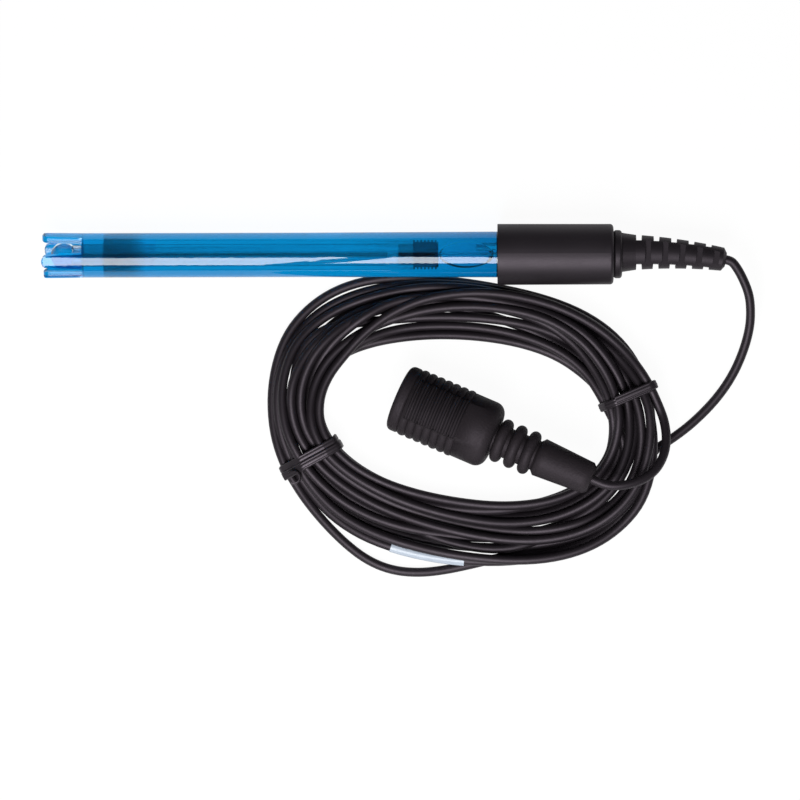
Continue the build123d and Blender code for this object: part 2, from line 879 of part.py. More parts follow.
# Lead: from the strain relief down to the floor and in under the coil
floor_z = cable_r + floor_gap
relief_end_plane = relief_plane(relief_length)
lead_route = [
    tuple(relief_end_plane.origin),
    tuple(relief_end_plane.origin + relief_end_plane.z_dir * lead_straight),
    (94.4, -2.75, 9.2),
    (96.4, -6.0, 8.9),
    (98.45, -10.8, 8.1),
    (98.95, -15.4, 6.8),
    (98.75, -20.0, 5.5),
    (97.25, -25.95, 4.0),
    (94.5, -32.45, 2.7),
    (90.2, -38.9, 1.7),
    (83.85, -45.4, floor_z),
    (77.9, -49.9, floor_z),
    (71.8, -53.6, floor_z),
]
with BuildPart() as cable_lead:
    with BuildLine() as lead_path:
        FilletPolyline(*lead_route, radius=cord_radii(lead_route))
    with BuildSketch(Plane(origin=lead_path.line @ 0, z_dir=lead_path.line % 0)):
        Circle(cable_r)
    sweep()
cable_lead.part.label = "cable_lead"
export_step(cable_lead.part, "parts/cable_lead.step")

# Tail: from the ferrule through the boot, over the coil's edge and back into the bundle
tail_route = [
    tuple(plug_origin + plug_dir * ferrule_end),
    tuple(plug_origin + plug_dir * (boot_end + tail_straight)),
    (60.2, -62.4, 15.6),
    (64.4, -62.2, 15.3),
    (69.0, -60.9, 14.3),
    (72.6, -58.5, 12.9),
    (75.0, -54.9, 11.0),
    (76.1, -50.4, 9.0),
    (75.7, -45.6, 7.2),
    (74.4, -41.6, 6.2),
]
with BuildPart() as cable_tail:
    with BuildLine() as tail_path:
        FilletPolyline(*tail_route, radius=cord_radii(tail_route))
    with BuildSketch(Plane(origin=tail_path.line @ 0, z_dir=tail_path.line % 0)):
        Circle(cable_r)
    sweep()
cable_tail.part.label = "cable_tail"
export_step(cable_tail.part, "parts/cable_tail.step")

# Loose turn: one turn of the coil that bows out past the bundle at its lower left
loose_route = [
    (36.5, -81.0, floor_z),
    (30.5, -82.1, floor_z),
    (24.0, -83.7, floor_z),
    (16.5, -85.3, floor_z),
    (9.5, -86.1, floor_z),
    (2.3, -85.5, floor_z),
    (-4.2, -83.0, floor_z),
    (-10.2, -78.6, floor_z),
    (-16.2, -72.6, floor_z),
    (-20.8, -67.0, floor_z),
    (-23.6, -62.9, floor_z),
]
with BuildPart() as cable_loose_turn:
    with BuildLine() as loose_path:
        FilletPolyline(*loose_route, radius=cord_radii(loose_route))
    with BuildSketch(Plane(origin=loose_path.line @ 0, z_dir=loose_path.line % 0)):
        Circle(cable_r)
    sweep()
cable_loose_turn.part.label = "cable_loose_turn"
export_step(cable_loose_turn.part, "parts/cable_loose_turn.step")

for cord, path, route in (
    (cable_lead, lead_path, lead_route),
    (cable_tail, tail_path, tail_route),
    (cable_loose_turn, loose_path, loose_route),
):
    path_length = path.wire().length
    print(
        cord.part.label,
        "radii",
        [round(radius, 1) for radius in cord_radii(route)],
        "length",
        round(path_length, 1),
        "volume by section and length",
        round(cord.part.volume / (pi * cable_r**2 * path_length), 4),
    )

# Coil: the outer form of the tied bundle
coil_bottom = tie_thickness + tie_clearance


def coil_ring(grow, bottom, top, bevel):
    """The bundle's oval ring, grown by that much on every side."""
    with BuildPart() as ring:
        with BuildSketch(Plane.XY.offset(bottom)):
            with Locations(Location((*coil_centre, 0), (0, 0, coil_turn))):
                RectangleRounded(
                    coil_length + 2 * grow, coil_width + 2 * grow, (coil_width - coil_end_flat) / 2 + grow
                )
        extrude(amount=top - bottom)
        chamfer(ring.faces().sort_by(Axis.Z)[-1].edges(), bevel)
        with BuildSketch(Plane.XY.offset(bottom)):
            with Locations(Location((*coil_hole_centre, 0), (0, 0, coil_hole_turn))):
                Ellipse(coil_hole_length / 2 - grow, coil_hole_width / 2 - grow)
        extrude(amount=top - bottom, mode=Mode.SUBTRACT)
    return ring


coil_side = Vector(cos(radians(coil_turn)), sin(radians(coil_turn)), 0)
coil_lower = Vector(sin(radians(coil_turn)), -cos(radians(coil_turn)), 0)
label_r = label_dia / 2
label_dir = coil_side * cos(radians(label_slope)) + Vector(0, 0, sin(radians(label_slope)))
strand_start = (
    Vector(*coil_centre, floor_z)
    + coil_lower * (coil_width / 2 + label_gap + label_r)
    - coil_side * (label_shift + label_length / 2 + label_strand_overrun)
)
label_start = strand_start + label_dir * label_strand_overrun
strand_end = label_start + label_dir * (label_length + label_strand_overrun)
strand_return = coil_lower * -label_dia
strand_route = [
    tuple(strand_start - coil_side * label_strand_return + strand_return),
    tuple(strand_start),
    tuple(strand_end),
    tuple(strand_end + coil_side * label_strand_return + strand_return),
]
with BuildPart() as cable_coil:
    add(coil_ring(0, coil_bottom, coil_top, coil_bevel).part)
    with BuildLine() as strand_path:
        FilletPolyline(*strand_route, radius=label_strand_return)
    with BuildSketch(Plane(origin=strand_path.line @ 0, z_dir=strand_path.line % 0)):
        Circle(cable_r)
    sweep(path=strand_path.line)
cable_coil.part.label = "cable_coil"
export_step(cable_coil.part, "parts/cable_coil.step")

# Label: a white plastic sleeve on that strand, which climbs over the loose turn
with BuildPart() as cable_label:
    with BuildSketch(Plane(origin=label_start, x_dir=coil_lower, z_dir=label_dir)):
        Circle(label_r)
        Circle(cable_r, mode=Mode.SUBTRACT)
    extrude(amount=label_length)
cable_label.part.label = "cable_label"
export_step(cable_label.part, "parts/cable_label.step")


def tie_band(centre, angle):
    """A ribbon round the bundle where a slab at that place and angle crosses it."""
    with BuildPart() as band:
        add(coil_ring(tie_clearance + tie_thickness, 0, coil_top + coil_bottom, coil_bevel).part)
        bundle = coil_ring(tie_clearance, tie_thickness, coil_top + tie_clearance, coil_bevel)
        add(bundle.part, mode=Mode.SUBTRACT)
        with BuildSketch(Plane(origin=(*centre, 0), x_dir=(cos(radians(angle)), sin(radians(angle)), 0))):
            Rectangle(tie_reach, tie_width)
        extrude(amount=coil_top + coil_bottom, mode=Mode.INTERSECT)
    return band


# Ties: two black ribbons that hold the coil
tie_left = tie_band(tie_left_centre, tie_left_angle)
tie_left.part.label = "tie_left"
export_step(tie_left.part, "parts/tie_left.step")

tie_right = tie_band(tie_right_centre, tie_right_angle)
tie_right.part.label = "tie_right"
export_step(tie_right.part, "parts/tie_right.step")
print("electrode tilt", round(degrees(electrode_tilt), 2), "degrees, plug height", round(plug_height, 2))
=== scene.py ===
"""Slim laboratory pH electrode with a clear blue shaft, lying beside its tied cable coil and booted plug."""

import json
from math import atan, cos, pi, radians, sin

import bmesh
import bpy
import numpy as np
from mathutils import Matrix, Vector


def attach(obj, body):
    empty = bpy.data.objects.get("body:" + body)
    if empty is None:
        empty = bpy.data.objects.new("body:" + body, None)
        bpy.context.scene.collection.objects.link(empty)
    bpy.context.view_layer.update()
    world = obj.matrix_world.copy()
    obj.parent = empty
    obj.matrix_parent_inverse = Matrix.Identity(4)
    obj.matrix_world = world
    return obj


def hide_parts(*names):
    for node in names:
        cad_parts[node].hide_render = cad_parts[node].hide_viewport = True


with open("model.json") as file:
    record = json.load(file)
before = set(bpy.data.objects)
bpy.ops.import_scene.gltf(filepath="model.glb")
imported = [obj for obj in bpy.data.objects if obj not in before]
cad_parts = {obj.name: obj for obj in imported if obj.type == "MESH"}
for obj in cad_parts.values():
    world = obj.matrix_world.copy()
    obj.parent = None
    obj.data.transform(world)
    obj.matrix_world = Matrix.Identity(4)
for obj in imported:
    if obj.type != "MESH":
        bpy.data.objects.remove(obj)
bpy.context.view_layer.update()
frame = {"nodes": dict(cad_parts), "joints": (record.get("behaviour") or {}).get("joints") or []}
nodes = frame["nodes"]
scene = bpy.context.scene
mm = 0.001


# Body tube: one moulding of clear blue plastic with a solid bulkhead and four guard prongs at its tip.
# It is polished, hazy inside the guard and deeper blue towards the cap. The gel inside has nearly its
# index, so light crosses the bore as if it were solid and only the outside bends it.
class Value:
    """An output of a material's nodes: sums and products of it add Math nodes."""

    def __init__(self, tree, socket=None):
        self.tree, self.socket = tree, socket

    def node(self, kind, settings, sockets, output=0):
        """Adds any other node: its settings first, then the values or links of its sockets."""
        made = self.tree.nodes.new(kind)
        for name, value in settings.items():
            setattr(made, name, value)
        for name, value in sockets.items():
            if isinstance(value, Value):
                self.tree.links.new(value.socket, made.inputs[name])
            else:
                made.inputs[name].default_value = value
        return Value(self.tree, made.outputs[output])

    def maths(self, operation, *values, clamp=False):
        settings = {"operation": operation, "use_clamp": clamp}
        return self.node("ShaderNodeMath", settings, dict(enumerate(values)))

    def __add__(self, other):
        return self.maths("ADD", self, other)

    def __sub__(self, other):
        return self.maths("SUBTRACT", self, other)

    def __mul__(self, other):
        return self.maths("MULTIPLY", self, other)

    def __rsub__(self, other):
        return self.maths("SUBTRACT", other, self)

    def __lt__(self, other):
        return self.maths("LESS_THAN", self, other)

    def __gt__(self, other):
        return self.maths("GREATER_THAN", self, other)

    __radd__, __rmul__ = __add__, __mul__


def finish(name, colour, roughness, **sockets):
    """A material with one Principled shader, its tree as a Value, and that shader's node."""
    material = bpy.data.materials.new(name)
    material.use_nodes = True
    shader = material.node_tree.nodes["Principled BSDF"]
    shader.inputs["Base Color"].default_value = (*colour, 1)
    shader.inputs["Roughness"].default_value = roughness
    for key, value in sockets.items():
        shader.inputs[key.replace("_", " ")].default_value = value
    return material, Value(material.node_tree), shader


def feed(tree, shader, socket, value):
    tree.tree.links.new(value.socket, shader.inputs[socket])


def surface(tree, shader):
    """What the material's output shows."""
    tree.tree.links.new(shader.socket, tree.tree.nodes["Material Output"].inputs["Surface"])


def light_of(tree, shader):
    """What the Principled shader gives."""
    return Value(tree.tree, shader.outputs[0])


def dress(material, *names):
    for name in names:
        for slot in nodes[name].material_slots:
            slot.material = material


def mix(tree, factor, first, second):
    return tree.node("ShaderNodeMixShader", {}, {0: factor, 1: first, 2: second})


def blend(tree, factor, first, second):
    """A colour between two others, each of them red, green and blue or the output of a node."""
    ends = [colour if isinstance(colour, Value) else (*colour, 1) for colour in (first, second)]
    return tree.node("ShaderNodeMix", {"data_type": "RGBA"}, {0: factor, 6: ends[0], 7: ends[1]}, 2)


def transparent(tree, *colour):
    return tree.node("ShaderNodeBsdfTransparent", {}, {"Color": (*colour, 1)})


def ray_is(tree, kind):
    """1 where the light's path is of that kind, such as Shadow or Camera."""
    return tree.node("ShaderNodeLightPath", {}, {}, f"Is {kind} Ray")


def place_on(tree):
    """The place on the piece, in metres."""
    return tree.node("ShaderNodeTexCoord", {}, {}, "Object")


def vector(tree, operation, first, second, output=0):
    return tree.node("ShaderNodeVectorMath", {"operation": operation}, {0: first, 1: second}, output)


guard_dia, cap_dia, shaft_visible, electrode_length = 12.2, 16.45, 122.7, 184.3
shaft_tilt = atan((cap_dia - guard_dia) / 2 / shaft_visible)
shaft_dir = Vector((cos(shaft_tilt), 0, sin(shaft_tilt)))
tip = Vector((-electrode_length / 2 * cos(shaft_tilt), 0, guard_dia / 2 * cos(shaft_tilt))) * mm


def along_shaft(tree):
    """Distance from the tip along the electrode's axis, in millimetres."""
    from_tip = vector(tree, "SUBTRACT", place_on(tree), tip)
    return vector(tree, "DOT_PRODUCT", from_tip, shaft_dir, "Value") * (1 / mm)


def off_axis(tree):
    """Distance from the electrode's axis, in millimetres."""
    from_tip = vector(tree, "SUBTRACT", place_on(tree), tip)
    across = vector(tree, "CROSS_PRODUCT", from_tip, shaft_dir)
    return tree.node("ShaderNodeVectorMath", {"operation": "LENGTH"}, {0: across}, "Value") * (1 / mm)


blue, deep_blue, blue_shadow = (0.0, 0.27, 0.62), (0.0, 0.16, 0.42), (0.35, 0.7, 0.92)
polish, guard_haze = 0.02, 0.2
guard_depth, guard_inside_r, margin = 10.8, 5.6, 0.05
bulkhead_end, bore_r, stem_hole_r = 16.3, 4.85, 3.3
deeper_from, deeper_slope = 82.0, 0.025

blue_plastic, tree, shader = finish(
    "clear_blue_plastic", blue, polish, Transmission_Weight=1.0, IOR=1.46, Specular_IOR_Level=0.9
)
u, r = along_shaft(tree), off_axis(tree)
in_guard = (u < guard_depth + margin) * (r < guard_inside_r)
feed(tree, shader, "Roughness", polish + guard_haze * in_guard)
near_cap = tree.maths("MULTIPLY", u - deeper_from, deeper_slope, clamp=True)
feed(tree, shader, "Base Color", blend(tree, near_cap, blue, deep_blue))
bore = (r < bore_r) * (u > bulkhead_end) + (r < stem_hole_r) * (u > guard_depth + 2 * margin)
plastic = mix(tree, ray_is(tree, "Shadow"), light_of(tree, shader), transparent(tree, *blue_shadow))
surface(tree, mix(tree, bore.maths("MINIMUM", bore, 1.0), plastic, transparent(tree, 1, 1, 1)))
dress(blue_plastic, "body_tube")

# Glass stem: a thin tube with the pH bulb blown on its end, glued in the bulkhead. Inside the shaft it
# stands in gel and holds buffer, which hide it almost wholly; in the guard it stands in air.
bulb_centre, bulb_wall_middle_r, wet_index = 5.7, 3.4, 1.02

clear_glass, tree, shader = finish("blown_glass", (0.92, 0.97, 1.0), 0.0, Transmission_Weight=1.0, IOR=1.5)
u, r = along_shaft(tree), off_axis(tree)
from_bulb = u - bulb_centre
outside_bulb = (from_bulb * from_bulb + r * r) > bulb_wall_middle_r**2
wet_glass = tree.node(
    "ShaderNodeBsdfPrincipled",
    {},
    {"Base Color": (0.98, 0.99, 1, 1), "Roughness": 0.0, "Transmission Weight": 1.0, "IOR": wet_index},
)
glass = mix(tree, (u < guard_depth) * outside_bulb, wet_glass, light_of(tree, shader))
surface(tree, mix(tree, ray_is(tree, "Shadow"), glass, transparent(tree, 0.97, 0.98, 1)))
dress(clear_glass, "glass_stem")

# Fillings: buffer in the bulb and stem, gel round the stem with an air bubble under the cap. They are
# clear, so only the bubble's wall shows.
bubble_start, bubble_end, bubble_max_r = 106.0, 122.2, 3.9

buffer = finish("buffer", (0.99, 1.0, 1.0), 0.0, Transmission_Weight=1.0, IOR=wet_index)[0]
dress(buffer, "inner_buffer")

gel, tree, shader = finish("gel", (0.9, 0.97, 1.0), 0.0, Transmission_Weight=1.0, IOR=1.2)
u, r = along_shaft(tree), off_axis(tree)
bubble = (u > bubble_start) * (r < bubble_max_r) * (u < bubble_end)
surface(tree, mix(tree, bubble, transparent(tree, 1, 1, 1), light_of(tree, shader)))
dress(gel, "reference_gel")

# Wires and junction: silver wires with a chloride coat, cast into the potting at their upper ends, and
# a wet fibre sleeve pressed into the bulkhead. The wire in the buffer is shown faint, because little
# light is followed through the clear layers round it and it would turn black.
buffer_end, wet_wire_alpha = 93.0, 0.3


def noise(tree, scale, detail=3.0):
    """A cloudy value around a half, over the piece."""
    return tree.node("ShaderNodeTexNoise", {}, {"Vector": place_on(tree), "Scale": scale, "Detail": detail})


def grained(name, colour, smoothest, spread, scale, detail=3.0, **sockets):
    """A finish whose roughness rises from its smoothest with a fine grain."""
    material, tree, shader = finish(name, colour, smoothest, **sockets)
    feed(tree, shader, "Roughness", smoothest + spread * noise(tree, scale, detail))
    return material, tree, shader


silver, tree, shader = grained("chlorided_silver", (0.72, 0.71, 0.72), 0.45, 0.3, 1400.0)
above_buffer = along_shaft(tree) > buffer_end
feed(tree, shader, "Alpha", wet_wire_alpha + (1 - wet_wire_alpha) * above_buffer)
dress(silver, "measuring_wire", "reference_wire")

fibre = finish("wet_fibre", (0.94, 0.97, 1.0), 0.05, Transmission_Weight=1.0, IOR=wet_index)[0]
dress(fibre, "junction_wick")

# Seal, stopper and potting: dark sealing rubber poured behind the bulkhead and thinning out towards the
# gel, a ribbed plug in the top of the stem, and dark resin under the cap.
seal_fades_from, seal_fade, seal_ragged, seal_sheen = 24.6, 0.26, 1.6, 0.03
stem_end, stopper_sheen = 100.0, 0.05

seal_rubber, tree, shader = finish("sealing_rubber", (0.012, 0.035, 0.055), 0.4)
past_seal = along_shaft(tree) - seal_fades_from + seal_ragged * noise(tree, 260.0, 4.0)
thinning = tree.maths("MULTIPLY", past_seal, seal_fade, clamp=True)
smoke = mix(tree, thinning, transparent(tree, 0.855, 0.855, 0.855), transparent(tree, 1, 1, 1))
surface(tree, mix(tree, 1 - seal_sheen + seal_sheen * thinning, light_of(tree, shader), smoke))
dress(seal_rubber, "tip_seal")

stopper_rubber, tree, shader = grained("stopper_rubber", (0.015, 0.02, 0.026), 0.22, 0.25, 900.0)
above_stem = along_shaft(tree) > stem_end
smoke = mix(tree, above_stem, transparent(tree, 0.93, 0.93, 0.93), transparent(tree, 0.5, 0.5, 0.52))
surface(tree, mix(tree, 1 - stopper_sheen, light_of(tree, shader), smoke))
dress(stopper_rubber, "stem_stopper")

resin = grained("potting_resin", (0.01, 0.014, 0.018), 0.2, 0.2, 500.0)[0]
dress(resin, "head_potting")

# Cap and strain relief: satin black mouldings. The relief's sleeve is slotted from both sides in turn, so
# that it bends with the cable.
black, black_sheen = (0.017, 0.0145, 0.017), (0.98, 0.85, 0.98, 1)
grain_share, cloud_share, cloud_scale = 0.14, 0.1, 90.0
darkest, lightest, painted_shade_depth = 0.8, 1.25, 0.6


def moulded_black(name, colour, roughness, grain_scale, grain_depth, relief=None, **sockets):
    """Black moulding with a fine grain in its gloss, colour and surface, and any relief besides, whose
    hollows get painted shade.
    """
    material, tree, shader = finish(name, colour, roughness, Specular_Tint=black_sheen, **sockets)
    grain, clouds = noise(tree, grain_scale, 4.0), noise(tree, cloud_scale)
    uneven = grain_share * (grain - 0.5) + cloud_share * (clouds - 0.5)
    feed(tree, shader, "Roughness", roughness + uneven)
    tone = blend(tree, clouds, [darkest * c for c in colour], [lightest * c for c in colour])
    height = grain
    if relief:
        raised = relief(tree)
        height = grain + raised
        # painted shade: the colour darkens towards black in the relief's hollows
        painted_groove_shade = tree.maths("MULTIPLY", raised, -painted_shade_depth, clamp=True)
        tone = blend(tree, painted_groove_shade, tone, (0, 0, 0))
    feed(tree, shader, "Base Color", tone)
    bump = {"Height": height, "Strength": grain_depth, "Distance": 0.2 * mm}
    feed(tree, shader, "Normal", tree.node("ShaderNodeBump", {}, bump))
    return material


black_plastic = moulded_black("cap_plastic", black, 0.5, 2600.0, 0.06)
dress(black_plastic, "head_cap")
black_rubber = moulded_black("relief_rubber", black, 0.48, 2200.0, 0.08, Specular_IOR_Level=0.35)
dress(black_rubber, "strain_relief")

# Plug: nickel plated contact and coupling, spring disc, white insulator, gold plated pin and red gasket.
# They are turned or pressed, stand one inside the other, and are hidden in the boot but for its mouth.
nickel = grained("nickel_plate", (0.62, 0.6, 0.56), 0.16, 0.2, 1200.0, 4.0, Metallic=1.0)[0]
dress(nickel, "bayonet_sleeve", "plug_shell", "crimp_ferrule")
spring_steel = grained("spring_steel", (0.4, 0.4, 0.41), 0.28, 0.2, 1500.0, Metallic=1.0)[0]
dress(spring_steel, "spring_washer")
white_insulator = grained("white_insulator", (0.78, 0.78, 0.75), 0.4, 0.2, 800.0)[0]
dress(white_insulator, "plug_insulator")
gold_plate = grained("gold_plate", (0.85, 0.6, 0.2), 0.14, 0.16, 1500.0, Metallic=1.0)[0]
dress(gold_plate, "centre_pin")
gasket_rubber = grained("gasket_rubber", (0.3, 0.05, 0.03), 0.5, 0.2, 900.0)[0]
dress(gasket_rubber, "plug_gasket")

# Boot: one matt rubber moulding over the plug, with a ribbed grip, a bellows and a sleeve. It is turned on
# its axis so that a grip panel lies on top, and fine lines cross the panel between its grooves. Painted
# shade darkens the colour in the lines' hollows.
up = Vector((0, 0, 1))
coupling_turn = frame["joints"][0]
plug_origin, plug_dir = Vector(coupling_turn["pos_m"]), Vector(coupling_turn["axis"])
plug_side = plug_dir.cross(up).normalized()
plug_up = plug_side.cross(plug_dir)
panel_turn, panel_from, panel_to = -88.0, -44.0, 30.0
panel_start, panel_end, panel_r = 4.05, 19.2, 8.9
line_pitch, line_height = 0.76, 1.5


def panel_lines(tree):
    """Height of the fine lines that cross the grip panel."""
    from_mouth = vector(tree, "SUBTRACT", place_on(tree), plug_origin)
    s, rise, aside = [
        vector(tree, "DOT_PRODUCT", from_mouth, axis, "Value") * (1 / mm)
        for axis in (plug_dir, plug_up, plug_side)
    ]
    angle = tree.maths("ARCTAN2", aside, rise)
    lengthwise = (s > panel_start) * (s < panel_end)
    around = (angle > radians(panel_from)) * (angle < radians(panel_to))
    outside = (rise * rise + aside * aside) > panel_r**2
    lines = tree.maths("SINE", s * (2 * pi / line_pitch))
    return lengthwise * around * outside * lines * line_height


boot_rubber = moulded_black(
    "boot_rubber", (0.02, 0.0165, 0.019), 0.6, 1700.0, 0.55, panel_lines, Specular_IOR_Level=0.3
)
boot_mesh = bmesh.new()
boot_mesh.from_mesh(nodes["connector_boot"].data)
bmesh.ops.remove_doubles(boot_mesh, verts=boot_mesh.verts, dist=0.001 * mm)
turned = Matrix.Rotation(radians(panel_turn), 3, plug_dir)
bmesh.ops.rotate(boot_mesh, cent=plug_origin, matrix=turned, verts=boot_mesh.verts)


def add_piece(name, mesh, material, body="electrode", sharp=40.0):
    """Makes a finished mesh a piece that rides on a body, smooth but for edges past the sharp angle."""
    data = bpy.data.meshes.new(name)
    for face in mesh.faces:
        face.smooth = True
    mesh.to_mesh(data)
    mesh.free()
    data.set_sharp_from_angle(angle=radians(sharp))
    data.materials.append(material)
    piece = bpy.data.objects.new(name, data)
    scene.collection.objects.link(piece)
    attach(piece, body)
    return piece


boot = add_piece("boot", boot_mesh, boot_rubber, body="coupling", sharp=25.0)
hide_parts("connector_boot")

# Cable: thin black coaxial lead in a smooth soft jacket. It leaves the strain relief, makes a loose turn,
# lies in twelve more turns on each other, and comes off the top of the coil into the boot.
cable_dia, floor_z = 2.5, 1.3
lead = [
    (92.02, -1.57, 9.29),
    (93.2, -1.77, 9.31),
    (94.4, -2.75, 9.2),
    (96.4, -6.0, 8.9),
    (98.45, -10.8, 8.1),
    (98.95, -15.4, 6.8),
    (98.75, -20.0, 5.5),
    (97.25, -25.95, 4.0),
    (94.5, -32.45, 2.7),
    (90.2, -38.9, 1.7),
    (83.85, -45.4, floor_z),
    (77.9, -49.9, floor_z),
    (71.8, -53.6, floor_z),
]
loose_turn = [
    (36.5, -81.0, floor_z),
    (30.5, -82.1, floor_z),
    (24.0, -83.7, floor_z),
    (16.5, -85.3, floor_z),
    (9.5, -86.1, floor_z),
    (2.3, -85.5, floor_z),
    (-4.2, -83.0, floor_z),
    (-10.2, -78.6, floor_z),
    (-16.2, -72.6, floor_z),
    (-20.8, -67.0, floor_z),
    (-23.6, -62.9, floor_z),
]
tail = [
    (74.4, -41.6, 6.2),
    (75.7, -45.6, 7.2),
    (76.1, -50.4, 9.0),
    (75.0, -54.9, 11.0),
    (72.6, -58.5, 12.9),
    (69.0, -60.9, 14.3),
    (64.4, -62.2, 15.3),
    (60.2, -62.4, 15.6),
    (56.67, -61.09, 15.53),
    (39.28, -53.58, 13.37),
]
# where each turn lies in the bundle: at an angle in degrees, counted anticlockwise from the right-hand
# end, how far it lies from the inner edge, in hundredths of the bundle's width; the cable runs clockwise,
# so the angles fall, and the turn with one place only is the filler turn
turns = [
    [(360, 83), (335, 80), (315, 81), (300, 86), (240, 110), (212, 88), (200, 88), (180, 96), (155, 102),
     (135, 103), (120, 100), (100, 90), (90, 88), (70, 96), (60, 97), (45, 91), (25, 82), (10, 78)],
    [(360, 80), (330, 85), (300, 89), (285, 94), (270, 100), (255, 102), (243, 99), (228, 86), (210, 78),
     (195, 80), (178, 90), (165, 90), (135, 86), (110, 85), (80, 90), (60, 90), (40, 87), (20, 77)],
    [(360, 81), (350, 83), (325, 77), (300, 70), (280, 74), (245, 79), (225, 74), (195, 67), (180, 61),
     (155, 58), (135, 60), (115, 69), (90, 79), (60, 82), (30, 78), (15, 76)],
    [(360, 85), (348, 95), (310, 95), (285, 91), (265, 90), (245, 90), (225, 78), (205, 71), (180, 60),
     (155, 55), (130, 56), (110, 53), (90, 44), (70, 32), (45, 27), (15, 23)],
    [(360, 22), (325, 28), (310, 30), (285, 21), (260, 17), (225, 20), (195, 21), (165, 18), (145, 14),
     (120, 4), (100, 4), (62, 12), (45, 8), (20, 6)],
    [(360, 6), (320, 14), (290, 17), (265, 12), (210, 16), (170, 12), (130, 17), (115, 17), (100, 16),
     (80, 21), (65, 23), (50, 17), (30, 4), (15, 2)],
    [(360, 3)],
    [(360, 44), (340, 43), (310, 49), (270, 63), (245, 68), (215, 65), (195, 70), (180, 80), (165, 82),
     (140, 75), (120, 73), (95, 83), (75, 81), (50, 70), (25, 75), (10, 77)],
    [(360, 76), (340, 74), (305, 68), (280, 57), (250, 46), (215, 46), (195, 57), (180, 64), (165, 57),
     (150, 53), (130, 58), (105, 70), (80, 74), (60, 71), (40, 61), (20, 56)],
    [(360, 63), (345, 64), (310, 55), (280, 43), (250, 31), (230, 29), (213, 30), (195, 40), (175, 48),
     (150, 47), (115, 55), (85, 61), (70, 58), (58, 43), (40, 20), (25, 9), (10, 3)],
    [(360, 5), (330, 7), (300, 10), (275, 18), (240, 19), (212, 20), (190, 28), (160, 33), (142, 40),
     (128, 55), (105, 68), (80, 74), (65, 72), (45, 55), (30, 46), (18, 37)],
    [(360, 35), (300, 37), (283, 35), (265, 26), (235, 22), (195, 26), (170, 22), (155, 24), (138, 27),
     (120, 34), (100, 50), (85, 61), (73, 65), (60, 57), (40, 36), (20, 18)],
    [(360, 8), (345, 8), (318, 11), (285, 8), (265, 5), (240, 8), (211, 14), (190, 11), (165, 7), (152, 8),
     (140, 19), (125, 38), (105, 65), (90, 83), (75, 89), (60, 89), (40, 86), (28, 87), (22, 90)],
]
inner_edge = {"centre": (22.63, -44.28), "half": (39.3, 21.9), "power": 2.07, "turn": -7.67}
outer_edge = {"centre": (21.75, -44.68), "half": (53.76, 38.18), "power": 2.347, "turn": -10.92}
# points of the cable's line in each turn, steps of the settling from one to the next, and the angle at
# which the last turn leaves the bundle
stations, fine, last_angle = 24, 4, 26.0
hidden_turns, filler_turn, hidden_hold, seen_hold = (4, 5, 6), 6, 0.15, 0.5
filler_ease = np.hanning(15) / np.hanning(15).sum()
tie_angles, tie_lift, tie_spread = (208.0, 23.0), 0.9, 14.0
settle_steps, sink, stacking, stiffness, tiny = 500, 0.03, 1.3, 0.25, 1e-6


def oval(angle, centre, half, power, turn):
    """A point of a squarish oval in plan."""
    c, s = np.cos(np.radians(angle)), np.sin(np.radians(angle))
    x = half[0] * np.sign(c) * np.abs(c) ** (2 / power)
    y = half[1] * np.sign(s) * np.abs(s) ** (2 / power)
    c, s = cos(radians(turn)), sin(radians(turn))
    return np.stack([centre[0] + x * c - y * s, centre[1] + x * s + y * c], -1)


passes = [(turn + 1 - angle / 360, share / 100) for turn, row in enumerate(turns) for angle, share in row]
per_turn = stations * fine
travel = np.arange(0, len(turns) - last_angle / 360, 1 / per_turn)
turn_of = travel.astype(int)
inner, outer = oval(-360 * travel, **inner_edge), oval(-360 * travel, **outer_edge)
width = np.linalg.norm(outer - inner, axis=1)
wanted = np.interp(travel, *np.transpose(passes)) * width
# the filler turn lies in the middle of the widest space between the others and eases from one to the next
fills = turn_of == filler_turn
for k in np.nonzero(fills)[0]:
    abreast = np.arange(k % per_turn, len(travel), per_turn)
    others = np.sort(wanted[abreast[~fills[abreast]]])
    widest = np.diff(others).argmax()
    wanted[k] = (others[widest] + others[widest + 1]) / 2
eased = np.convolve(np.pad(wanted, len(filler_ease) // 2, "edge"), filler_ease, "valid")
wanted[fills] = eased[fills]
hold = np.where(np.isin(turn_of, hidden_turns), hidden_hold, seen_hold)
from_ties = [(-360 * travel - tie + 180) % 360 - 180 for tie in tie_angles]
ground = floor_z + tie_lift * sum(np.exp(-((angle / tie_spread) ** 2)) for angle in from_ties)
across, height = wanted.copy(), floor_z + stacking * travel
# the turns sink onto each other: weight, the wanted place, contact, stiffness and the ground, in small steps
for _ in range(settle_steps):
    height -= sink
    across += hold * (wanted - across)
    for k in range(per_turn, len(travel), per_turn):
        sideways, upward = across[k:] - across[:-k], height[k:] - height[:-k]
        apart = np.hypot(sideways, upward) + tiny
        push = np.maximum(cable_dia - apart, 0) / apart / 2
        for line, gap in ((across, sideways), (height, upward)):
            line[k:] += push * gap
            line[:-k] -= push * gap
    for line in (across, height):
        line[1:-1] += stiffness * (line[:-2] + line[2:] - 2 * line[1:-1])
    height = np.maximum(height, ground)
plan = inner + (outer - inner) * (across / width)[:, None]
coil = np.column_stack([plan, height])[::fine]
loose_from, loose_to = 5, 10
route = [*lead, *coil[1:loose_from], *loose_turn, *coil[loose_to:], *tail]

